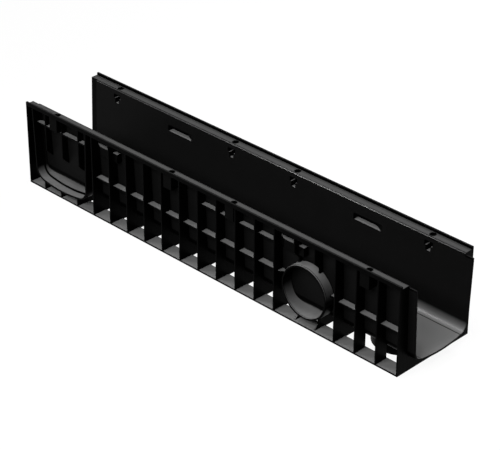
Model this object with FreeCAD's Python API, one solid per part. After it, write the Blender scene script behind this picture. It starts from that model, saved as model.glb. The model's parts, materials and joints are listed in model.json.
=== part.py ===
import FreeCAD
import Part
import math
import os

# Drainage channel: one ribbed polypropylene moulding that carries two half-length gratings.
# X runs along the channel, from the socket end to the spigot end, Y across it, Z up from the base.
# The origin lies on the base plane, at the middle of the build length and of the width.
# The wall at -Y is the connection side: it carries the tee socket and the side outlet.

Vector = FreeCAD.Vector

# Overall sizes
BUILD_LENGTH = 1000.0
WIDTH = 196.0
HEIGHT = 185.0

# Trough section: drafted walls, rounded corners and a dished floor
INNER_WIDTH = 150.0
WALL = 3.5
WALL_DRAFT_DEG = 2.1
FLOOR_HEIGHT = 21.3
FLOOR_RADIUS = 283.0
CORNER_RADIUS = 20.0

# Rails that seat the gratings
LIP_HEIGHT = 5.0
LIP_WIDTH = 4.0
SEAT_THICKNESS = 3.0
SEAT_CHAMFER_WIDTH = 2.5
SEAT_CHAMFER_DEPTH = 1.5

# Ribs, foot flanges and stringers
RIB_BAYS = 20
RIB_THICKNESS = 3.0
FOOT_WIDTH = 31.0
FOOT_THICKNESS = 3.0
STRINGER_THICKNESS = 3.0
STRINGER_SETBACK = 8.0
STRINGER_TOP = 86.0
UPPER_STRINGER_DROP = 34.5

# Spigot and socket that join one channel to the next
SPIGOT_LENGTH = 17.5
JOINT_CLEARANCE = 0.5

# Pockets for the quarter-turn locking bars, one across the middle of each grating
LOCK_POCKET_HEIGHT = 12.5
LOCK_POCKET_DROP = 24.0
LOCK_POCKET_DEPTH = 11.3
LOCK_ENTRY = 55.0
LOCK_STOP = 12.0
LOCK_HOUSING_WALL = 2.7

# Screw points: a hole in the seat above a pocket that takes a tee nut from inside
SCREW_OFFSET = 166.7
SCREW_EDGE = 12.5
SCREW_HOLE_DIAMETER = 12.0
NUT_POCKET_COVER = 11.0
NUT_POCKET_HEIGHT = 9.0
NUT_POCKET_WIDTH = 18.0
SHANK_POCKET_HEIGHT = 10.0
SHANK_POCKET_WIDTH = 10.0
BOSS_WALL = 2.0

# Round pipe connections: one in the connection side, one under the floor
PIPE_DIAMETER = 110.0
PIPE_WALL = 4.0
PIPE_LEAD_IN = 3.0
PIPE_LEAD_DEPTH = 1.0
SIDE_OUTLET_FROM_END = 227.0
SIDE_OUTLET_HEIGHT = 72.5
BOTTOM_OUTLET_FROM_END = 75.0
PIPE_ROOM_BELOW = 14.0
PIPE_ROOM_SLOPE_DEG = 45.0
PIPE_ROOM_ROOT = 10.0

# Tee socket: another channel's spigot fits here once the wall behind it is cut out
TEE_FROM_END = 100.0
TEE_RIB_HEIGHT = 73.0

# Places and sizes that follow from the ones above
HALF_LENGTH = BUILD_LENGTH / 2
HALF_WIDTH = WIDTH / 2
HALF_INNER = INNER_WIDTH / 2
SEAT_HEIGHT = HEIGHT - LIP_HEIGHT
SEAT_UNDERSIDE = SEAT_HEIGHT - SEAT_THICKNESS
RIB_PITCH = BUILD_LENGTH / RIB_BAYS
DRAFT = math.tan(math.radians(WALL_DRAFT_DEG))
DRAFT_SECANT = 1 / math.cos(math.radians(WALL_DRAFT_DEG))
SPIGOT_TOP = SEAT_UNDERSIDE - JOINT_CLEARANCE
SOCKET_GROW = WALL + JOINT_CLEARANCE
SOCKET_LENGTH = SPIGOT_LENGTH + JOINT_CLEARANCE
CORNER_FOOT = HALF_INNER - (SEAT_HEIGHT - FLOOR_HEIGHT) * DRAFT - CORNER_RADIUS
GRATE_CENTRES = (-BUILD_LENGTH / 4, BUILD_LENGTH / 4)
SIDE_OUTLET_X = HALF_LENGTH - SIDE_OUTLET_FROM_END
BOTTOM_OUTLET_X = HALF_LENGTH - BOTTOM_OUTLET_FROM_END
TEE_X = TEE_FROM_END - HALF_LENGTH
PIPE_RADIUS = PIPE_DIAMETER / 2
PIPE_BORE_RADIUS = PIPE_RADIUS - PIPE_WALL
STRINGER_REACH = HALF_WIDTH - STRINGER_SETBACK
UPPER_STRINGER_TOP = SEAT_HEIGHT - UPPER_STRINGER_DROP
LOCK_POCKET_TOP = SEAT_HEIGHT - LOCK_POCKET_DROP
LOCK_POCKET_REACH = HALF_INNER + LOCK_POCKET_DEPTH
LOCK_SWING_RADIUS = math.hypot(HALF_INNER, LOCK_ENTRY)
NUT_POCKET_TOP = SEAT_HEIGHT - NUT_POCKET_COVER
NUT_POCKET_BASE = NUT_POCKET_TOP - NUT_POCKET_HEIGHT
SHANK_POCKET_BASE = NUT_POCKET_BASE - SHANK_POCKET_HEIGHT
POCKET_REACH = HALF_WIDTH - BOSS_WALL
SCREW_REACH = HALF_WIDTH - SCREW_EDGE
NEAR = -1
FAR = 1
OVERRUN = 1.0


def block(x_low, x_high, y_low, y_high, z_low, z_high):
    """Rectangular block between two corners."""
    low = Vector(x_low, y_low, z_low)
    return Part.makeBox(x_high - x_low, y_high - y_low, z_high - z_low, low)


def side_block(side, x_low, x_high, reach_low, reach_high, z_low, z_high):
    """Block beside one wall, its width measured out from the channel's middle plane."""
    y_low, y_high = sorted((side * reach_low, side * reach_high))
    return block(x_low, x_high, y_low, y_high, z_low, z_high)


def prism_along_x(points, x_low, x_high):
    """Closed polygon of (y, z) points, carried along X."""
    corners = [Vector(x_low, y, z) for y, z in points]
    face = Part.Face(Part.makePolygon(corners + corners[:1]))
    return face.extrude(Vector(x_high - x_low, 0, 0))


def trough(x_low, x_high, grow, top):
    """Trough section, moved out by grow on every side, carried along X up to the height top."""
    radius = FLOOR_RADIUS + grow
    centre = FLOOR_HEIGHT + FLOOR_RADIUS
    wall_foot = HALF_INNER + grow * DRAFT_SECANT - SEAT_HEIGHT * DRAFT
    # The drafted wall y = wall_foot + DRAFT * z meets the floor's circle at the lower root of a quadratic.
    square = 1 + DRAFT ** 2
    linear = wall_foot * DRAFT - centre
    constant = wall_foot ** 2 + centre ** 2 - radius ** 2
    corner_z = (-linear - math.sqrt(linear ** 2 - square * constant)) / square
    corner_y = wall_foot + DRAFT * corner_z
    top_y = wall_foot + DRAFT * top
    left_top = Vector(x_low, -top_y, top)
    left_foot = Vector(x_low, -corner_y, corner_z)
    low_point = Vector(x_low, 0, FLOOR_HEIGHT - grow)
    right_foot = Vector(x_low, corner_y, corner_z)
    right_top = Vector(x_low, top_y, top)
    edges = [
        Part.makeLine(left_top, left_foot),
        Part.Arc(left_foot, low_point, right_foot).toShape(),
        Part.makeLine(right_foot, right_top),
        Part.makeLine(right_top, left_top),
    ]
    solid = Part.Face(Part.Wire(edges)).extrude(Vector(x_high - x_low, 0, 0))
    corners = [edge for edge in solid.Edges if is_floor_corner(edge, corner_z)]
    return solid.makeFillet(CORNER_RADIUS + grow, corners)


def is_floor_corner(edge, corner_z):
    """True for the two long edges where the walls meet the floor."""
    ends = [vertex.Point for vertex in edge.Vertexes]
    along = abs(ends[0].x - ends[1].x) > OVERRUN / 2
    return along and all(abs(end.z - corner_z) < OVERRUN / 10 for end in ends)


def tee_trough(reach_low, reach_high, grow):
    """Trough section turned to run out through the connection side at the tee."""
    solid = trough(reach_low, reach_high, grow, SEAT_UNDERSIDE)
    solid.rotate(Vector(0, 0, 0), Vector(0, 0, 1), -90)
    solid.translate(Vector(TEE_X, 0, 0))
    return solid


def shell():
    """Trough walls and floor with the spigot, and the wider walls round the socket."""
    body = trough(-HALF_LENGTH, HALF_LENGTH, WALL, SEAT_HEIGHT)
    spigot = trough(0, HALF_LENGTH + SPIGOT_LENGTH, WALL, SPIGOT_TOP)
    socket_end = -HALF_LENGTH + SOCKET_LENGTH + WALL
    socket = trough(-HALF_LENGTH, socket_end, SOCKET_GROW + WALL, SEAT_HEIGHT)
    return body.multiFuse([spigot, socket])


def rails():
    """Grating seats and the upstanding lips outside them."""
    parts = []
    for side in (NEAR, FAR):
        seat = side_block(side, -HALF_LENGTH, HALF_LENGTH, CORNER_FOOT, HALF_WIDTH,
                          SEAT_UNDERSIDE, SEAT_HEIGHT)
        lip = side_block(side, -HALF_LENGTH, HALF_LENGTH, HALF_WIDTH - LIP_WIDTH, HALF_WIDTH,
                         SEAT_UNDERSIDE, HEIGHT)
        parts += [seat, lip]
    return parts


def rib_spans():
    """Start and end of every rib along X: one starts at the socket end, and one ends each bay."""
    spans = [(-HALF_LENGTH, -HALF_LENGTH + RIB_THICKNESS)]
    for bay in range(1, RIB_BAYS + 1):
        bay_end = -HALF_LENGTH + bay * RIB_PITCH
        spans.append((bay_end - RIB_THICKNESS, bay_end))
    return spans


def ribs():
    """Upright rib frames round the trough, cut back to leave room for a pipe on each outlet."""
    frames = []
    for x_low, x_high in rib_spans():
        frame = block(x_low, x_high, -HALF_WIDTH, HALF_WIDTH, 0, SEAT_HEIGHT)
        centre = (x_low + x_high) / 2
        if abs(centre - BOTTOM_OUTLET_X) < PIPE_RADIUS:
            frame = frame.cut(bottom_pipe_room())
        if abs(centre - SIDE_OUTLET_X) < PIPE_RADIUS:
            frame = frame.cut(side_pipe_room())
        frames.append(frame)
    return frames


def feet():
    """Flat flanges along both sides of the base."""
    spans = (-HALF_LENGTH, HALF_LENGTH, HALF_WIDTH - FOOT_WIDTH, HALF_WIDTH, 0, FOOT_THICKNESS)
    return [side_block(side, *spans) for side in (NEAR, FAR)]


def stringer(side, x_low, x_high, top):
    """Level rib along one wall."""
    return side_block(side, x_low, x_high, CORNER_FOOT, STRINGER_REACH, top - STRINGER_THICKNESS, top)


def outer_wall(height):
    """Distance from the middle plane to the trough wall's outer face at one height."""
    return HALF_INNER + WALL * DRAFT_SECANT - (SEAT_HEIGHT - height) * DRAFT


def tee_wall(height):
    """Distance from the tee's own middle plane to the middle of its socket's wall at one height."""
    return outer_wall(height) + SOCKET_GROW - WALL / 2


def stringers():
    """Middle stringers on both walls and two short upper ones on the connection side."""
    upper_half = tee_wall(UPPER_STRINGER_TOP)
    return [
        stringer(FAR, -HALF_LENGTH, HALF_LENGTH, STRINGER_TOP),
        stringer(NEAR, TEE_X + 2 * RIB_PITCH, HALF_LENGTH, STRINGER_TOP).cut(side_pipe_room()),
        stringer(NEAR, TEE_X - upper_half, TEE_X + upper_half, UPPER_STRINGER_TOP),
        stringer(NEAR, 0, GRATE_CENTRES[1] - RIB_PITCH, UPPER_STRINGER_TOP),
    ]


def lock_space(centre, side, grow):
    """Space swept by one end of a locking bar: it turns in from the curved end and meets a flat stop."""
    height = LOCK_POCKET_HEIGHT + 2 * grow
    base = LOCK_POCKET_TOP + grow - height
    swing = Part.makeCylinder(LOCK_SWING_RADIUS + grow, height, Vector(centre, 0, base))
    stop = centre - side * (LOCK_STOP + grow)
    far_end = centre + side * LOCK_SWING_RADIUS
    x_low, x_high = sorted((stop, far_end))
    window = side_block(side, x_low, x_high, CORNER_FOOT, LOCK_POCKET_REACH + grow, base, base + height)
    return swing.common(window)


def screw_points():
    """Every screw point as its place along X and its side."""
    places = []
    for centre in GRATE_CENTRES:
        for offset in (-SCREW_OFFSET, SCREW_OFFSET):
            places += [(centre + offset, NEAR), (centre + offset, FAR)]
    return places


def screw_boss(x, side):
    """Block outside the wall that holds the nut pocket."""
    half = NUT_POCKET_WIDTH / 2 + BOSS_WALL
    base = SHANK_POCKET_BASE - BOSS_WALL
    return side_block(side, x - half, x + half, CORNER_FOOT, HALF_WIDTH, base, SEAT_HEIGHT)


def screw_cuts(x, side):
    """Screw hole, nut pocket and the narrower pocket for the screw's shank below it."""
    nut_half = NUT_POCKET_WIDTH / 2
    shank_half = SHANK_POCKET_WIDTH / 2
    nut = side_block(side, x - nut_half, x + nut_half, CORNER_FOOT, POCKET_REACH,
                     NUT_POCKET_BASE, NUT_POCKET_TOP)
    shank = side_block(side, x - shank_half, x + shank_half, CORNER_FOOT, POCKET_REACH,
                       SHANK_POCKET_BASE, NUT_POCKET_BASE)
    hole_foot = Vector(x, side * SCREW_REACH, NUT_POCKET_TOP)
    hole = Part.makeCylinder(SCREW_HOLE_DIAMETER / 2, HEIGHT - NUT_POCKET_TOP, hole_foot)
    return [nut.fuse(shank), hole]


def side_pipe(radius, reach_low, reach_high):
    """Round bar on the side outlet's axis."""
    foot = Vector(SIDE_OUTLET_X, -reach_low, SIDE_OUTLET_HEIGHT)
    return Part.makeCylinder(radius, reach_high - reach_low, foot, Vector(0, -1, 0))


def side_pipe_room():
    """Cone round the side outlet that leaves room for a pipe socket, outside the ribs' roots at the wall."""
    slope = math.tan(math.radians(PIPE_ROOM_SLOPE_DEG))
    start = outer_wall(SIDE_OUTLET_HEIGHT) + PIPE_ROOM_ROOT
    depth = HALF_WIDTH - start
    low_radius = PIPE_RADIUS + PIPE_ROOM_ROOT * slope
    foot = Vector(SIDE_OUTLET_X, -start, SIDE_OUTLET_HEIGHT)
    return Part.makeCone(low_radius, low_radius + depth * slope, depth, foot, Vector(0, -1, 0))


def bottom_pipe_room():
    """Space under the floor round the bottom outlet, open to a pipe socket."""
    reach = PIPE_RADIUS + PIPE_ROOM_BELOW
    top = FLOOR_HEIGHT + CORNER_RADIUS
    return block(BOTTOM_OUTLET_X - reach, BOTTOM_OUTLET_X + reach, -reach, reach, -OVERRUN, top)


def side_outlet():
    """Pipe ring on the connection side, with a tapered lead-in at its rim."""
    shoulder = HALF_WIDTH - PIPE_LEAD_IN
    ring = side_pipe(PIPE_RADIUS, CORNER_FOOT, shoulder)
    foot = Vector(SIDE_OUTLET_X, -shoulder, SIDE_OUTLET_HEIGHT)
    rim_radius = PIPE_RADIUS - PIPE_LEAD_DEPTH
    lead = Part.makeCone(PIPE_RADIUS, rim_radius, PIPE_LEAD_IN, foot, Vector(0, -1, 0))
    return ring.fuse(lead).cut(side_pipe(PIPE_BORE_RADIUS, CORNER_FOOT, HALF_WIDTH))


def bottom_pipe(radius):
    """Round bar on the bottom outlet's axis, from the base up into the floor."""
    foot = Vector(BOTTOM_OUTLET_X, 0, 0)
    return Part.makeCylinder(radius, FLOOR_HEIGHT + CORNER_RADIUS, foot)


def tee_inside():
    """Hollow of the tee socket: the spigot's recess, then the trough's own section."""
    recess = tee_trough(HALF_WIDTH - SOCKET_LENGTH, HALF_WIDTH, SOCKET_GROW)
    throat = tee_trough(CORNER_FOOT, HALF_WIDTH, 0)
    return recess.fuse(throat)


def tee_outside():
    """Outer form of the tee socket."""
    recess = tee_trough(HALF_WIDTH - SOCKET_LENGTH - WALL, HALF_WIDTH, SOCKET_GROW + WALL)
    throat = tee_trough(CORNER_FOOT - WALL, HALF_WIDTH, WALL)
    return recess.fuse(throat)


def tee_rib_space():
    """Wedge that keeps the ribs inside the tee socket: they end on a slope above its hollow."""
    root = outer_wall(TEE_RIB_HEIGHT)
    points = [
        (-STRINGER_REACH, TEE_RIB_HEIGHT + STRINGER_REACH - root),
        (-root, TEE_RIB_HEIGHT),
        (-CORNER_FOOT, TEE_RIB_HEIGHT),
        (-CORNER_FOOT, HEIGHT),
        (-STRINGER_REACH, HEIGHT),
    ]
    reach = HALF_INNER + SOCKET_GROW + WALL
    return prism_along_x(points, TEE_X - reach, TEE_X + reach)


def seat_chamfer():
    """Bevel along the inner edges of both seats."""
    foot = HALF_INNER - SEAT_CHAMFER_DEPTH * DRAFT
    head = HALF_INNER + SEAT_CHAMFER_WIDTH
    points = [
        (-head, SEAT_HEIGHT),
        (-foot, SEAT_HEIGHT - SEAT_CHAMFER_DEPTH),
        (foot, SEAT_HEIGHT - SEAT_CHAMFER_DEPTH),
        (head, SEAT_HEIGHT),
    ]
    return prism_along_x(points, -HALF_LENGTH - OVERRUN, HALF_LENGTH + OVERRUN)


def hollows():
    """Everything that is cut out of the finished outer form."""
    trough_end = HALF_LENGTH + SPIGOT_LENGTH + OVERRUN
    cuts = [
        trough(-HALF_LENGTH - OVERRUN, trough_end, 0, HEIGHT + OVERRUN),
        trough(-HALF_LENGTH - OVERRUN, -HALF_LENGTH + SOCKET_LENGTH, SOCKET_GROW, HEIGHT + OVERRUN),
        seat_chamfer(),
    ]
    for centre in GRATE_CENTRES:
        cuts += [lock_space(centre, side, 0) for side in (NEAR, FAR)]
    for x, side in screw_points():
        cuts += screw_cuts(x, side)
    return cuts


def channel_body():
    """The whole moulding."""
    frames = ribs()
    lattice = frames[0].multiFuse(frames[1:] + stringers())
    lattice = lattice.cut(tee_inside().cut(tee_rib_space()))
    lattice = lattice.cut(side_pipe(PIPE_BORE_RADIUS, CORNER_FOOT, HALF_WIDTH))
    lattice = lattice.cut(bottom_pipe(PIPE_BORE_RADIUS))
    tee = tee_outside().cut(tee_inside())
    bottom_outlet = bottom_pipe(PIPE_RADIUS).cut(bottom_pipe(PIPE_BORE_RADIUS))
    solids = [lattice, tee, side_outlet(), bottom_outlet] + rails() + feet()
    for centre in GRATE_CENTRES:
        solids += [lock_space(centre, side, LOCK_HOUSING_WALL) for side in (NEAR, FAR)]
    solids += [screw_boss(x, side) for x, side in screw_points()]
    body = shell().multiFuse(solids)
    body = body.cut(hollows())
    return body.removeSplitter()


os.makedirs("parts", exist_ok=True)
channel_body().exportStep("parts/channel_body.step")
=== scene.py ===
import json
import logging
import math
from dataclasses import dataclass, field
from enum import Enum

import bmesh
import bpy
import numpy as np
from mathutils import Matrix, Vector


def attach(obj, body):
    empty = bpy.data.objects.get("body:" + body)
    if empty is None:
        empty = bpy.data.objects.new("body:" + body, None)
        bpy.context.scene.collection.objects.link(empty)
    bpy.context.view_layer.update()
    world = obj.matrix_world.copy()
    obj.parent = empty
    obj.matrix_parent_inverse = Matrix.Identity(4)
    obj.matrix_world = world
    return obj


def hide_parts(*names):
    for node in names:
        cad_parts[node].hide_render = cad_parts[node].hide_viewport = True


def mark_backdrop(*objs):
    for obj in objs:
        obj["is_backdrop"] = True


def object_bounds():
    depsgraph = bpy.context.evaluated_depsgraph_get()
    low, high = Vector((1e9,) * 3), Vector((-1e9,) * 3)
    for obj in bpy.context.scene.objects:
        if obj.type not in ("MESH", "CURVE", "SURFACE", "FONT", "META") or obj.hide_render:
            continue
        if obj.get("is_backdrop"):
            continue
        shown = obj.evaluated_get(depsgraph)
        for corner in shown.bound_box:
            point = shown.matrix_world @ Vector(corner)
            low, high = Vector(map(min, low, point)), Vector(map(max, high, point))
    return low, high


# Looks of the drainage channel: one black polypropylene moulding on a studio floor that shows white.
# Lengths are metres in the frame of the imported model, with +X along the channel and +Z up.

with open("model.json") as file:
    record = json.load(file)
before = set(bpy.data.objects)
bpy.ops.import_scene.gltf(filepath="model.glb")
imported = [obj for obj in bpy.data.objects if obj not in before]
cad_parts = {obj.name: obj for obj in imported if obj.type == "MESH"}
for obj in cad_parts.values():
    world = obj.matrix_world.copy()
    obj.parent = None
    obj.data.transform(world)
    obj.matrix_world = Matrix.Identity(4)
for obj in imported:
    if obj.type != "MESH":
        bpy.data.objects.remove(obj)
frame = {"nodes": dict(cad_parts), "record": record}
CAD_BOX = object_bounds()
IMAGE_WIDTH = 500
IMAGE_HEIGHT = 450
HALF = 0.5
WHITE = (1.0, 1.0, 1.0, 1.0)

# Sizes of the channel that the finish follows; INNER_HALF and CORNER_START are from the middle plane.
LIP_WIDTH = 0.004
LIP_HEIGHT = 0.005
INNER_HALF = 0.075
CHAMFER_WIDTH = 0.0025
CORNER_START = 0.0539
SPIGOT_LENGTH = 0.0175
SOCKET_LENGTH = 0.018
TEE_FROM_END = 0.1
OUTLET_FROM_END = 0.227
OUTLET_HEIGHT = 0.0725
OUTLET_LEAD_IN = 0.003

# Places on the channel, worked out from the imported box.
BOX_LOW, BOX_HIGH = CAD_BOX
HALF_WIDTH = BOX_HIGH.y
SEAT_LEVEL = BOX_HIGH.z - LIP_HEIGHT
SPIGOT_ROOT = BOX_HIGH.x - SPIGOT_LENGTH
OUTLET_PLACE = SPIGOT_ROOT - OUTLET_FROM_END

# How far a limit lies beside a face, so that the whole face is on one side of it.
FACE_MARGIN = 0.0002
TEE_MARGIN = 0.0005

# How far the painted shade of the seats goes down their chamfers.
CHAMFER_REACH = 0.0011

# Half size of a stretch that takes in the whole channel.
WHOLE_CHANNEL = 1.0

log = logging.getLogger("drainage_channel")


class Ray(Enum):
    """Kinds of ray that see the stage as a white background."""

    CAMERA = "Is Camera Ray"
    GLOSSY = "Is Glossy Ray"
    TRANSMISSION = "Is Transmission Ray"


class Socket(Enum):
    """Kinds of socket on the shared effects."""

    VALUE = "NodeSocketFloat"
    PLACE = "NodeSocketVector"


@dataclass
class Graph:
    """Thin helper round one node tree.

    Attributes:
        tree: The node tree that nodes are added to.
    """

    tree: bpy.types.NodeTree

    def node(self, kind: str, **settings: object) -> bpy.types.Node:
        """Adds a node.

        Args:
            kind: Blender's name for the node type.
            settings: Properties set on the new node.

        Returns:
            The new node.
        """
        made = self.tree.nodes.new(kind)
        for name, value in settings.items():
            setattr(made, name, value)
        return made

    def feed(self, socket: bpy.types.NodeSocket, source: object) -> None:
        """Links a socket to another one, or sets its value.

        Args:
            socket: The input that is fed.
            source: An output socket to link, or a plain value.
        """
        if isinstance(source, bpy.types.NodeSocket):
            self.tree.links.new(source, socket)
        else:
            socket.default_value = source

    def math(self, operation: str, *terms: object, clamp: bool = False) -> bpy.types.NodeSocket:
        """Works out one value from others.

        Args:
            operation: Name of the Math operation.
            terms: Sockets or numbers, in order.
            clamp: Keeps the result between 0 and 1.

        Returns:
            The result's socket.
        """
        made = self.node("ShaderNodeMath", operation=operation, use_clamp=clamp)
        for socket, term in zip(made.inputs, terms):
            self.feed(socket, term)
        return made.outputs[0]

    def vector(self, operation: str, *terms: object) -> bpy.types.Node:
        """Works out a vector, or a value, from vectors.

        Args:
            operation: Name of the Vector Math operation.
            terms: Vector sockets, in order.

        Returns:
            The node, whose outputs are Vector and Value.
        """
        made = self.node("ShaderNodeVectorMath", operation=operation)
        for socket, term in zip(made.inputs, terms):
            self.feed(socket, term)
        return made

    def split(self, vector: bpy.types.NodeSocket) -> bpy.types.NodeOutputs:
        """Takes a vector apart.

        Args:
            vector: The vector's socket.

        Returns:
            Its parts, named X, Y and Z.
        """
        made = self.node("ShaderNodeSeparateXYZ")
        self.feed(made.inputs[0], vector)
        return made.outputs

    def spread(self, value: object, low: object, high: object) -> bpy.types.NodeSocket:
        """Stretches a value from 0..1 to low..high.

        Args:
            value: Socket or number that is stretched.
            low: Result where the value is 0.
            high: Result where the value is 1.

        Returns:
            The result's socket.
        """
        made = self.node("ShaderNodeMapRange")
        for name, source in (("Value", value), ("To Min", low), ("To Max", high)):
            self.feed(made.inputs[name], source)
        return made.outputs["Result"]


class Effect:
    """A shared effect, held as a shader node group that is built once."""

    name: str = ""
    inputs: dict[str, Socket] = {}
    outputs: dict[str, Socket] = {}

    def tree(self) -> bpy.types.NodeTree:
        """Finds the group, or builds it the first time.

        Returns:
            The group's node tree.
        """
        found = bpy.data.node_groups.get(self.name)
        if found is not None:
            return found
        made = bpy.data.node_groups.new(self.name, "ShaderNodeTree")
        for label, kind in self.inputs.items():
            made.interface.new_socket(label, in_out="INPUT", socket_type=kind.value)
        for label, kind in self.outputs.items():
            made.interface.new_socket(label, in_out="OUTPUT", socket_type=kind.value)
        graph = Graph(made)
        source = graph.node("NodeGroupInput")
        target = graph.node("NodeGroupOutput")
        for label, socket in self.wire(graph, source.outputs).items():
            graph.feed(target.inputs[label], socket)
        return made

    def wire(self, graph: Graph, given: bpy.types.NodeOutputs) -> dict[str, bpy.types.NodeSocket]:
        """Builds the effect's nodes; each effect has its own.

        Args:
            graph: The group's graph.
            given: The group's inputs, by name.

        Returns:
            The socket that feeds each named output.
        """
        raise NotImplementedError

    def place(self, graph: Graph, **values: object) -> bpy.types.Node:
        """Puts the effect into a material.

        Args:
            graph: The material's graph.
            values: A socket or number for each named input.

        Returns:
            The group node.
        """
        made = graph.node("ShaderNodeGroup", node_tree=self.tree())
        for label, value in values.items():
            graph.feed(made.inputs[label], value)
        return made


class MouldGrain(Effect):
    """Fine texture of the moulded skin: a fine noise, and a slow one that is fifty times coarser."""

    name = "mould_grain"
    inputs = {"Place": Socket.PLACE, "Scale": Socket.VALUE}
    outputs = {"Height": Socket.VALUE, "Drift": Socket.VALUE}
    slow_scale: float = 0.02
    slow_share: float = 0.2
    fine_detail: float = 3.0
    slow_detail: float = 4.0

    def wire(self, graph: Graph, given: bpy.types.NodeOutputs) -> dict[str, bpy.types.NodeSocket]:
        """Adds a share of the slow noise to the fine one.

        Args:
            graph: The group's graph.
            given: The group's inputs, by name.

        Returns:
            Height, which is mostly the fine noise, and Drift, which is the slow one.
        """
        fine = graph.node("ShaderNodeTexNoise")
        slow = graph.node("ShaderNodeTexNoise")
        graph.feed(fine.inputs["Vector"], given["Place"])
        graph.feed(fine.inputs["Scale"], given["Scale"])
        graph.feed(fine.inputs["Detail"], self.fine_detail)
        graph.feed(slow.inputs["Vector"], given["Place"])
        graph.feed(slow.inputs["Scale"], graph.math("MULTIPLY", given["Scale"], self.slow_scale))
        graph.feed(slow.inputs["Detail"], self.slow_detail)
        height = graph.math("MULTIPLY_ADD", slow.outputs["Fac"], self.slow_share, fine.outputs["Fac"])
        return {"Height": height, "Drift": slow.outputs["Fac"]}


class SinkMarks(Effect):
    """Faint hollows on a wall opposite the ribs behind it, one at every rib along X."""

    name = "sink_marks"
    inputs = {"Place": Socket.PLACE, "Pitch": Socket.VALUE, "Width": Socket.VALUE, "Reach": Socket.VALUE}
    outputs = {"Depth": Socket.VALUE}
    softness: float = 0.3

    def wire(self, graph: Graph, given: bpy.types.NodeOutputs) -> dict[str, bpy.types.NodeSocket]:
        """Measures the distance along X to the nearest multiple of the ribs' pitch.

        Args:
            graph: The group's graph.
            given: The group's inputs, by name.

        Returns:
            Depth, which falls from 1 at a multiple of Pitch to almost 0 at Width from it, and is 0 where
            Y is past Reach.
        """
        place = graph.split(given["Place"])
        away = graph.math("PINGPONG", place["X"], graph.math("MULTIPLY", given["Pitch"], HALF))
        near = graph.math("DIVIDE", away, given["Width"])
        hollow = graph.math("SUBTRACT", 1.0, graph.math("SMOOTH_MIN", near, 1.0, self.softness), clamp=True)
        inside = graph.math("LESS_THAN", graph.math("ABSOLUTE", place["Y"]), given["Reach"])
        return {"Depth": graph.math("MULTIPLY", hollow, inside)}


class PaintedOverheadShade(Effect):
    """How far a face leans and turns up, which sets a painted shade as under light from straight above."""

    name = "painted_overhead_shade"
    inputs = {"Facing": Socket.PLACE, "Slope": Socket.VALUE}
    outputs = {"Lean": Socket.VALUE, "Flat": Socket.VALUE}
    overhang: float = 3.0

    def wire(self, graph: Graph, given: bpy.types.NodeOutputs) -> dict[str, bpy.types.NodeSocket]:
        """Counts the upward part of the face's direction in slopes.

        Args:
            graph: The group's graph.
            given: The group's inputs, by name.

        Returns:
            Lean, which is 0 on an upright face, 1 on one that leans up or over by Slope, and 0 again on one
            that hangs over by the overhang's number of slopes or more, and Flat, the upward part that is
            beyond Slope.
        """
        facing = graph.split(given["Facing"])
        slopes = graph.math("DIVIDE", facing["Z"], given["Slope"])
        above = graph.math("ADD", slopes, self.overhang)
        lean = graph.math("MINIMUM", graph.math("ABSOLUTE", slopes), above, clamp=True)
        flat = graph.math("SUBTRACT", facing["Z"], given["Slope"], clamp=True)
        return {"Lean": lean, "Flat": flat}


class ShadedOpenTops(Effect):
    """Painted shade on the top faces that stand open to every lamp: the seats, the lips and the top of the
    spigot.
    """

    name = "painted_shade_tops"
    inputs = {
        "Place": Socket.PLACE,
        "Seat": Socket.VALUE,
        "Lip": Socket.VALUE,
        "End": Socket.VALUE,
        "Share": Socket.VALUE,
    }
    outputs = {"Open": Socket.VALUE}
    near_seat: float = 0.97

    def wire(self, graph: Graph, given: bpy.types.NodeOutputs) -> dict[str, bpy.types.NodeSocket]:
        """Finds the tops by their place.

        Args:
            graph: The group's graph.
            given: The group's inputs, by name.

        Returns:
            Open, which is Share above the height Seat, and 1 near that height and above it where Y is
            outside Lip or X is beyond End.
        """
        place = graph.split(given["Place"])
        across = graph.math("ABSOLUTE", place["Y"])
        seat = graph.math("GREATER_THAN", place["Z"], given["Seat"])
        lip = graph.math("GREATER_THAN", across, given["Lip"])
        end = graph.math("GREATER_THAN", place["X"], given["End"])
        near = graph.math("GREATER_THAN", place["Z"], graph.math("MULTIPLY", given["Seat"], self.near_seat))
        rim = graph.math("MULTIPLY", graph.math("MAXIMUM", lip, end), near)
        return {"Open": graph.math("MAXIMUM", graph.math("MULTIPLY", seat, given["Share"]), rim)}


class ShadedSockets(Effect):
    """Inside of the end socket and the tee's socket, where leaning walls get the painted shade of upright
    ones.
    """

    name = "painted_socket_shade"
    inputs = {
        "Place": Socket.PLACE,
        "End": Socket.VALUE,
        "Tee": Socket.VALUE,
        "Half": Socket.VALUE,
        "Depth": Socket.VALUE,
    }
    outputs = {"Socket": Socket.VALUE}

    def wire(self, graph: Graph, given: bpy.types.NodeOutputs) -> dict[str, bpy.types.NodeSocket]:
        """Finds the sockets by their place.

        Args:
            graph: The group's graph.
            given: The group's inputs, by name.

        Returns:
            Socket, which is 1 where X is below End, or within Half of Tee while Y is below Depth.
        """
        place = graph.split(given["Place"])
        end = graph.math("LESS_THAN", place["X"], given["End"])
        beside = graph.math("ABSOLUTE", graph.math("SUBTRACT", place["X"], given["Tee"]))
        inside = graph.math("LESS_THAN", beside, given["Half"])
        outer = graph.math("LESS_THAN", place["Y"], given["Depth"])
        return {"Socket": graph.math("MAXIMUM", end, graph.math("MULTIPLY", inside, outer))}


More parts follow.
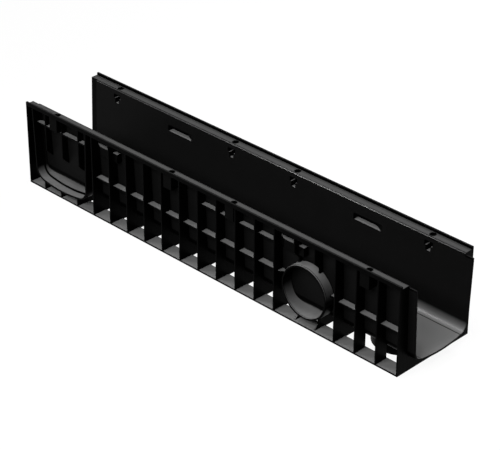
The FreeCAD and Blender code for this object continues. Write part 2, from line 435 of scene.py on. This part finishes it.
class DrawnLine(Effect):
    """Mask of a painted dark line of a set width along both sides, where the mask of the edges gives none or
    too faint a one.
    """

    name = "drawn_line"
    inputs = {
        "Place": Socket.PLACE,
        "Offset": Socket.VALUE,
        "Width": Socket.VALUE,
        "Middle": Socket.PLACE,
        "Half": Socket.PLACE,
    }
    outputs = {"Line": Socket.VALUE}

    def wire(self, graph: Graph, given: bpy.types.NodeOutputs) -> dict[str, bpy.types.NodeSocket]:
        """Measures the distance from the line across the channel, and from the stretch's middle in X and Z.

        Args:
            graph: The group's graph.
            given: The group's inputs, by name.

        Returns:
            Line, which is 1 within half of Width from Offset on either side of the middle plane, where X
            and Z are within Half of Middle.
        """
        across = graph.math("ABSOLUTE", graph.split(given["Place"])["Y"])
        away = graph.math("ABSOLUTE", graph.math("SUBTRACT", across, given["Offset"]))
        on_line = graph.math("LESS_THAN", away, graph.math("MULTIPLY", given["Width"], HALF))
        local = graph.vector("SUBTRACT", given["Place"], given["Middle"])
        share = graph.vector("DIVIDE", local.outputs["Vector"], given["Half"])
        reach = graph.split(share.outputs["Vector"])
        along = graph.math("ABSOLUTE", reach["X"])
        upward = graph.math("ABSOLUTE", reach["Z"])
        inside = graph.math("LESS_THAN", graph.math("MAXIMUM", along, upward), 1.0)
        return {"Line": graph.math("MULTIPLY", on_line, inside)}


class EdgeRadius(Effect):
    """Small moulded radius on every edge, and a mask of the narrow band beside it."""

    name = "edge_radius"
    inputs = {"Radius": Socket.VALUE, "Band": Socket.VALUE, "Gain": Socket.VALUE}
    outputs = {"Normal": Socket.PLACE, "Edge": Socket.VALUE}
    radius_samples: int = 4
    band_samples: int = 8

    def wire(self, graph: Graph, given: bpy.types.NodeOutputs) -> dict[str, bpy.types.NodeSocket]:
        """Compares the face's direction with the mean direction of the faces near it.

        Args:
            graph: The group's graph.
            given: The group's inputs, by name.

        Returns:
            Normal, which turns over an edge inside Radius, and Edge, which rises from 0 at the distance
            Band from an edge to 1 beside it, the faster the greater Gain is.
        """
        rounded = graph.node("ShaderNodeBevel", samples=self.radius_samples)
        wide = graph.node("ShaderNodeBevel", samples=self.band_samples)
        graph.feed(rounded.inputs["Radius"], given["Radius"])
        graph.feed(wide.inputs["Radius"], given["Band"])
        face = graph.node("ShaderNodeNewGeometry")
        alike = graph.vector("DOT_PRODUCT", wide.outputs["Normal"], face.outputs["Normal"])
        turn = graph.math("SUBTRACT", 1.0, alike.outputs["Value"])
        edge = graph.math("MULTIPLY", turn, given["Gain"], clamp=True)
        return {"Normal": rounded.outputs["Normal"], "Edge": edge}


@dataclass(frozen=True)
class LinePlace:
    """Place of one drawn line.

    Attributes:
        offset: Distance of the line from the channel's middle plane.
        width: Width of the line.
        middle: Middle of the stretch that has the line; its Y is not used.
        half: Half size of that stretch; its Y is not used.
    """

    offset: float
    width: float
    middle: tuple[float, float, float]
    half: tuple[float, float, float]


TROUGH_CORNER = LinePlace(
    offset=CORNER_START,
    width=0.0020,
    middle=(0.0, 0.0, 0.015),
    half=(WHOLE_CHANNEL, WHOLE_CHANNEL, 0.015),
)
SEAT_CHAMFER = LinePlace(
    offset=INNER_HALF + CHAMFER_WIDTH,
    width=0.0018,
    middle=(0.0, 0.0, SEAT_LEVEL),
    half=(WHOLE_CHANNEL, WHOLE_CHANNEL, 0.002),
)
OUTLET_SHOULDER = LinePlace(
    offset=HALF_WIDTH - OUTLET_LEAD_IN,
    width=0.0010,
    middle=(OUTLET_PLACE, 0.0, OUTLET_HEIGHT),
    half=(0.06, WHOLE_CHANNEL, 0.06),
)


@dataclass(frozen=True)
class MouldedPlastic:
    """Black polypropylene with painted shade: its grey follows how far a face turns up, as under light from
    straight above.

    Attributes:
        name: Name of the material.
        upright_shade: Linear grey painted on an upright face, the darkest of the painted shade.
        wall_shade: Darkest and lightest linear grey painted on a wall that leans by the wall's slope.
        wall_slope: Upward part of such a wall's direction.
        flat_shade: Darkest and lightest linear grey that a face comes near as it turns level, the lightest of
            the painted shade.
        roughness: Lowest and highest roughness.
        specular: Strength of the plastic's own reflection.
        sheen: Weight of the smooth coat that a face comes near as it turns level.
        sheen_roughness: Roughness of that coat.
        grain_scale: Scale of the fine noise in the texture.
        grain_depth: Height of the texture.
        sink_depth: Depth of the sink marks.
        relief: Strength of the bump that the texture and the sink marks give.
        relief_unit: Length of one unit of the bump's height, which is in metres already.
        rib_pitch: Distance between the ribs.
        sink_width: Half width of a sink mark.
        sink_reach: Half width that takes in the trough, where the marks show.
        edge_radius: Moulded radius on every edge.
        edge_band: Width of the dark band painted beside every edge, which in the creases is painted shade.
        edge_gain: How fast the band darkens as the faces turn.
        edge_shade: Share of the grey that is left under the painted dark band on an edge.
        seat_height: Height just above the foot of the seats' chamfers.
        lip_reach: Half width between the lips.
        spigot_start: Place along X where the spigot begins.
        seat_share: How much of the tops' painted shade the seats have, where the lips and the spigot have
            all.
        open_shade: Share of the grey and of the coat that is left on a top with all of that painted shade.
        socket_end: Place along X where the end socket stops.
        tee_place: Place of the tee along X.
        tee_half: Half width that takes in the tee's socket.
        tee_depth: Place along Y where the tee's socket stops.
        drawn_lines: Places of the dark lines that are painted besides the edges.
    """

    name: str
    upright_shade: float = 0.0004
    wall_shade: tuple[float, float] = (0.0024, 0.0031)
    wall_slope: float = 0.0366
    flat_shade: tuple[float, float] = (0.085, 0.100)
    roughness: tuple[float, float] = (0.34, 0.44)
    specular: float = 0.012
    sheen: float = 0.2
    sheen_roughness: float = 0.3
    grain_scale: float = 1400.0
    grain_depth: float = 0.00012
    sink_depth: float = 0.00006
    relief: float = 0.6
    relief_unit: float = 1.0
    rib_pitch: float = 0.05
    sink_width: float = 0.006
    sink_reach: float = 0.0765
    edge_radius: float = 0.0005
    edge_band: float = 0.002
    edge_gain: float = 300.0
    edge_shade: float = 0.08
    seat_height: float = SEAT_LEVEL - CHAMFER_REACH
    lip_reach: float = HALF_WIDTH - LIP_WIDTH - FACE_MARGIN
    spigot_start: float = SPIGOT_ROOT + FACE_MARGIN
    seat_share: float = 0.77
    open_shade: float = 0.05
    socket_end: float = BOX_LOW.x + SOCKET_LENGTH + FACE_MARGIN
    tee_place: float = BOX_LOW.x + TEE_FROM_END
    tee_half: float = 0.085
    tee_depth: float = SOCKET_LENGTH + TEE_MARGIN - HALF_WIDTH
    drawn_lines: tuple[LinePlace, ...] = (TROUGH_CORNER, SEAT_CHAMFER, OUTLET_SHOULDER)

    def material(self) -> bpy.types.Material:
        """Builds the finish.

        Returns:
            The material.
        """
        made = bpy.data.materials.new(self.name)
        made.use_nodes = True
        made.node_tree.nodes.clear()
        graph = Graph(made.node_tree)
        source = graph.node("ShaderNodeTexCoord")
        place = source.outputs["Object"]
        tone = PaintedOverheadShade().place(graph, Facing=source.outputs["Normal"], Slope=self.wall_slope)
        grain = MouldGrain().place(graph, Place=place, Scale=self.grain_scale)
        rim = EdgeRadius().place(graph, Radius=self.edge_radius, Band=self.edge_band, Gain=self.edge_gain)
        # Painted shade on the tops, which stand open to every lamp.
        left = self.left_on_tops(graph, place)
        # Painted shade: the grey follows how far a face turns up, as under light from straight above.
        face = graph.math("MULTIPLY", self.face_shade(graph, place, tone, grain), left)
        # Painted dark lines beside every edge; in the creases they are painted shade.
        lines = self.dark_lines(graph, place, rim)
        shade = graph.math("MULTIPLY", face, graph.spread(lines, 1.0, self.edge_shade))
        colour = graph.node("ShaderNodeCombineColor")
        for channel in colour.inputs:
            graph.feed(channel, shade)
        plastic = graph.node("ShaderNodeBsdfPrincipled")
        plastic.inputs["Specular IOR Level"].default_value = self.specular
        plastic.inputs["Coat Roughness"].default_value = self.sheen_roughness
        coat = graph.math("MULTIPLY", graph.spread(tone.outputs["Flat"], 0.0, self.sheen), left)
        graph.feed(plastic.inputs["Coat Weight"], coat)
        graph.feed(plastic.inputs["Base Color"], colour.outputs["Color"])
        graph.feed(plastic.inputs["Roughness"], graph.spread(grain.outputs["Drift"], *self.roughness))
        graph.feed(plastic.inputs["Normal"], self.relief_normal(graph, place, grain, rim))
        graph.feed(graph.node("ShaderNodeOutputMaterial").inputs["Surface"], plastic.outputs["BSDF"])
        return made

    def left_on_tops(self, graph: Graph, place: bpy.types.NodeSocket) -> bpy.types.NodeSocket:
        """Works out how much of the grey and of the coat is left on the top faces under their painted shade.

        Args:
            graph: The material's graph.
            place: Place on the channel.

        Returns:
            A share that is 1 away from the tops.
        """
        tops = ShadedOpenTops().place(
            graph,
            Place=place,
            Seat=self.seat_height,
            Lip=self.lip_reach,
            End=self.spigot_start,
            Share=self.seat_share,
        )
        return graph.spread(tops.outputs["Open"], 1.0, self.open_shade)

    def face_shade(
        self, graph: Graph, place: bpy.types.NodeSocket, tone: bpy.types.Node, grain: bpy.types.Node
    ) -> bpy.types.NodeSocket:
        """Works out a face's painted shade from how far it turns up, as under light from straight above.

        Args:
            graph: The material's graph.
            place: Place on the channel.
            tone: The node of the painted overhead shade.
            grain: The texture's node.

        Returns:
            The linear grey, without edges.
        """
        socket = ShadedSockets().place(
            graph,
            Place=place,
            End=self.socket_end,
            Tee=self.tee_place,
            Half=self.tee_half,
            Depth=self.tee_depth,
        )
        # Painted shade: upright faces and socket walls darkest, leaning walls lighter, level faces lightest.
        lean = graph.math("SUBTRACT", tone.outputs["Lean"], socket.outputs["Socket"], clamp=True)
        leaning = graph.spread(grain.outputs["Drift"], *self.wall_shade)
        wall = graph.spread(lean, self.upright_shade, leaning)
        flat = graph.spread(grain.outputs["Drift"], *self.flat_shade)
        return graph.spread(tone.outputs["Flat"], wall, flat)

    def dark_lines(
        self, graph: Graph, place: bpy.types.NodeSocket, rim: bpy.types.Node
    ) -> bpy.types.NodeSocket:
        """Joins the painted dark lines to the mask of the edges.

        Args:
            graph: The material's graph.
            place: Place on the channel.
            rim: The edge radius's node.

        Returns:
            A mask that is 1 on a dark line.
        """
        lines = rim.outputs["Edge"]
        for line in self.drawn_lines:
            drawn = DrawnLine().place(
                graph,
                Place=place,
                Offset=line.offset,
                Width=line.width,
                Middle=line.middle,
                Half=line.half,
            )
            lines = graph.math("MAXIMUM", lines, drawn.outputs["Line"])
        return lines

    def relief_normal(
        self, graph: Graph, place: bpy.types.NodeSocket, grain: bpy.types.Node, rim: bpy.types.Node
    ) -> bpy.types.NodeSocket:
        """Lays the texture and the sink marks over the rounded edges.

        Args:
            graph: The material's graph.
            place: Place on the channel.
            grain: The texture's node.
            rim: The edge radius's node.

        Returns:
            The direction of the surface.
        """
        sink = SinkMarks().place(
            graph, Place=place, Pitch=self.rib_pitch, Width=self.sink_width, Reach=self.sink_reach
        )
        grain_height = graph.math("MULTIPLY", grain.outputs["Height"], self.grain_depth)
        sink_height = graph.math("MULTIPLY", sink.outputs["Depth"], -self.sink_depth)
        bump = graph.node("ShaderNodeBump")
        bump.inputs["Distance"].default_value = self.relief_unit
        bump.inputs["Strength"].default_value = self.relief
        graph.feed(bump.inputs["Height"], graph.math("ADD", grain_height, sink_height))
        graph.feed(bump.inputs["Normal"], rim.outputs["Normal"])
        return bump.outputs["Normal"]


@dataclass
class ChannelMoulding:
    """The channel itself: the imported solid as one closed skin.

    Attributes:
        node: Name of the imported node.
        finish: The plastic that it is moulded in.
        edge_angle: Facets that turn more than this meet in an edge; the others are one curved face.
        merge_distance: Corners closer than this are one corner.
    """

    node: str = "channel_body"
    finish: MouldedPlastic = field(default_factory=lambda: MouldedPlastic("black_moulding"))
    edge_angle: float = math.radians(15.0)
    merge_distance: float = 0.00001

    def build(self) -> bpy.types.Object:
        """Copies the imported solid, joins its loose facets and gives it the plastic.

        Returns:
            The finished piece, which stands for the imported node.
        """
        piece = bpy.data.objects.new("channel_moulding", self.joined_mesh())
        bpy.context.scene.collection.objects.link(piece)
        shading = piece.modifiers.new("even_shading", "WEIGHTED_NORMAL")
        shading.keep_sharp = True
        piece.data.materials.append(self.finish.material())
        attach(piece, frame["record"].get("root_body", "root"))
        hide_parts(self.node)
        return piece

    def joined_mesh(self) -> bpy.types.Mesh:
        """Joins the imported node's loose triangles into one closed skin, with smooth curves and sharp edges.

        Returns:
            The new mesh.
        """
        skin = bmesh.new()
        skin.from_mesh(frame["nodes"][self.node].data)
        bmesh.ops.remove_doubles(skin, verts=skin.verts, dist=self.merge_distance)
        mesh = bpy.data.meshes.new("channel_moulding")
        skin.to_mesh(mesh)
        skin.free()
        mesh.attributes.remove(mesh.attributes["custom_normal"])
        mesh.shade_smooth()
        mesh.set_sharp_from_angle(angle=self.edge_angle)
        return mesh


@dataclass
class StudioStage:
    """Floor under the channel, which shows white, and the white surroundings.

    Attributes:
        reach: Half length of the floor's side.
        cells: Faces along each side of the floor.
        floor_shade: Linear grey of the floor where light falls on it.
        floor_glow: White that the floor adds for the rays that see the background.
        ambient: Strength of the even light from all round.
    """

    reach: float = 14.0
    cells: int = 8
    floor_shade: float = 0.05
    floor_glow: float = 0.915
    ambient: float = 0.25

    def background_rays(self, graph: Graph) -> bpy.types.NodeSocket:
        """Adds the Light Path test.

        Args:
            graph: Graph of the floor's or the world's nodes.

        Returns:
            A value that is 1 for rays that see the background and 0 for all others.
        """
        path = graph.node("ShaderNodeLightPath")
        seen = path.outputs[Ray.CAMERA.value]
        for ray in (Ray.GLOSSY, Ray.TRANSMISSION):
            seen = graph.math("MAXIMUM", seen, path.outputs[ray.value])
        return seen

    def floor_material(self) -> bpy.types.Material:
        """Builds the floor's finish: a dark matt sheet that glows white for the background's rays.

        Returns:
            The material.
        """
        made = bpy.data.materials.new("pale_floor")
        made.use_nodes = True
        made.node_tree.nodes.clear()
        graph = Graph(made.node_tree)
        matt = graph.node("ShaderNodeBsdfDiffuse")
        matt.inputs["Color"].default_value = (self.floor_shade, self.floor_shade, self.floor_shade, 1.0)
        glow = graph.node("ShaderNodeEmission")
        strength = graph.math("MULTIPLY", self.background_rays(graph), self.floor_glow)
        graph.feed(glow.inputs["Strength"], strength)
        both = graph.node("ShaderNodeAddShader")
        graph.feed(both.inputs[0], matt.outputs["BSDF"])
        graph.feed(both.inputs[1], glow.outputs["Emission"])
        graph.feed(graph.node("ShaderNodeOutputMaterial").inputs["Surface"], both.outputs["Shader"])
        return made

    def floor(self) -> bpy.types.Object:
        """Builds the floor as a level grid at the channel's base: x and y run evenly from -reach to reach.

        Returns:
            Nothing, since marking the floor as backdrop returns nothing; the floor is linked to the scene.
        """
        steps = np.linspace(-self.reach, self.reach, self.cells + 1)
        across, along = np.meshgrid(steps, steps)
        level = np.full_like(across, BOX_LOW.z)
        points = np.stack([across, along, level], axis=-1).reshape(-1, 3)
        row = self.cells + 1
        corner = (np.arange(self.cells)[:, None] * row + np.arange(self.cells)).ravel()
        faces = np.stack([corner, corner + 1, corner + row + 1, corner + row], axis=-1)
        mesh = bpy.data.meshes.new("studio_floor")
        mesh.from_pydata(points.tolist(), [], faces.tolist())
        made = bpy.data.objects.new("studio_floor", mesh)
        bpy.context.scene.collection.objects.link(made)
        mesh.materials.append(self.floor_material())
        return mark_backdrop(made)

    def surroundings(self) -> None:
        """Sets the world: white for the background's rays, and an even soft light for the rest."""
        world = bpy.data.worlds.new("studio")
        world.use_nodes = True
        graph = Graph(world.node_tree)
        light = graph.tree.nodes["Background"]
        light.inputs["Color"].default_value = WHITE
        graph.feed(light.inputs["Strength"], graph.spread(self.background_rays(graph), self.ambient, 1.0))
        bpy.context.scene.world = world


@dataclass(frozen=True)
class Softbox:
    """One rectangular studio lamp.

    Attributes:
        name: Name of the lamp.
        place: Centre of the lamp.
        aim: Point that it faces.
        size: Its width and height.
        power: Its power in watts.
        spread: Full angle of its beam, in radians.
    """

    name: str
    place: tuple[float, float, float]
    aim: tuple[float, float, float]
    size: tuple[float, float]
    power: float
    spread: float = math.pi

    def build(self) -> bpy.types.Object:
        """Makes the lamp, hidden from the camera.

        Returns:
            The lamp's object.
        """
        data = bpy.data.lights.new(self.name, "AREA")
        data.shape = "RECTANGLE"
        data.size, data.size_y = self.size
        data.energy = self.power
        data.spread = self.spread
        made = bpy.data.objects.new(self.name, data)
        direction = Vector(self.aim) - Vector(self.place)
        facing = direction.to_track_quat("-Z", "Y").to_matrix().to_4x4()
        made.matrix_world = Matrix.Translation(self.place) @ facing
        made.visible_camera = False
        bpy.context.scene.collection.objects.link(made)
        return made


@dataclass(frozen=True)
class StudioCamera:
    """Camera at the photograph's viewing angle.

    Attributes:
        azimuth: Turn round the channel, in degrees; 0 looks along +Y.
        elevation: Height above the horizon, in degrees.
        distance: Distance from the eye to the aim point.
        aim: Point that the camera's axis passes through.
        focal_pixels: Focal length in pixels of the image.
        axis_pixel: Pixel that the camera's axis passes through.
        sensor: Width of the sensor in millimetres.
        sight: Farthest distance that the camera sees.
    """

    azimuth: float = 45.0
    elevation: float = 30.0
    distance: float = 3.673305
    aim: tuple[float, float, float] = (0.00258, -0.00194, 0.08697)
    focal_pixels: float = 1913.578
    axis_pixel: tuple[float, float] = (234.897, 214.663)
    sensor: float = 36.0
    sight: float = 100.0

    def build(self) -> bpy.types.Object:
        """Makes the camera and sets it as the scene's.

        Returns:
            The camera's object.
        """
        turn = math.radians(self.azimuth)
        lift = math.radians(self.elevation)
        back = Vector((math.sin(turn) * math.cos(lift), -math.cos(turn) * math.cos(lift), math.sin(lift)))
        data = bpy.data.cameras.new("studio_camera")
        data.sensor_width = self.sensor
        data.lens = self.sensor * self.focal_pixels / IMAGE_WIDTH
        data.shift_x = (IMAGE_WIDTH * HALF - self.axis_pixel[0]) / IMAGE_WIDTH
        data.shift_y = (self.axis_pixel[1] - IMAGE_HEIGHT * HALF) / IMAGE_WIDTH
        data.clip_end = self.sight
        made = bpy.data.objects.new("studio_camera", data)
        made.location = Vector(self.aim) + back * self.distance
        made.rotation_mode = "QUATERNION"
        made.rotation_quaternion = (-back).to_track_quat("-Z", "Y")
        bpy.context.scene.collection.objects.link(made)
        bpy.context.scene.camera = made
        return made


SIDE_AIM = (0.1, 0.0, 0.1)

LAMPS = (
    Softbox("front_low", place=(0.35, -2.0, 1.55), aim=SIDE_AIM, size=(2.4, 0.3), power=60.0),
    Softbox("front_high", place=(0.3, -1.8, 2.1), aim=SIDE_AIM, size=(2.4, 0.3), power=58.0),
    Softbox("back", place=(0.3, 2.0, 1.9), aim=SIDE_AIM, size=(1.6, 0.3), power=100.0),
    Softbox("spigot_end", place=(2.2, 0.1, 1.7), aim=(0.3, 0.0, 0.05), size=(1.2, 0.6), power=10.0),
    Softbox(
        "trough_strip",
        place=(-0.89, -0.35, 1.74),
        aim=(0.45, 0.06, 0.03),
        size=(0.8, 0.15),
        power=8.4,
        spread=math.radians(70.0),
    ),
)


def main() -> None:
    """Builds the camera, the stage, the lamps and the channel, and reports the channel's piece."""
    logging.basicConfig(level=logging.INFO, format="%(name)s: %(message)s")
    bpy.context.scene.view_settings.view_transform = "Standard"
    StudioCamera().build()
    stage = StudioStage()
    stage.surroundings()
    stage.floor()
    for lamp in LAMPS:
        lamp.build()
    channel = ChannelMoulding().build()
    log.info("%s: %d faces", channel.name, len(channel.data.polygons))


if __name__ == "__main__":
    main()
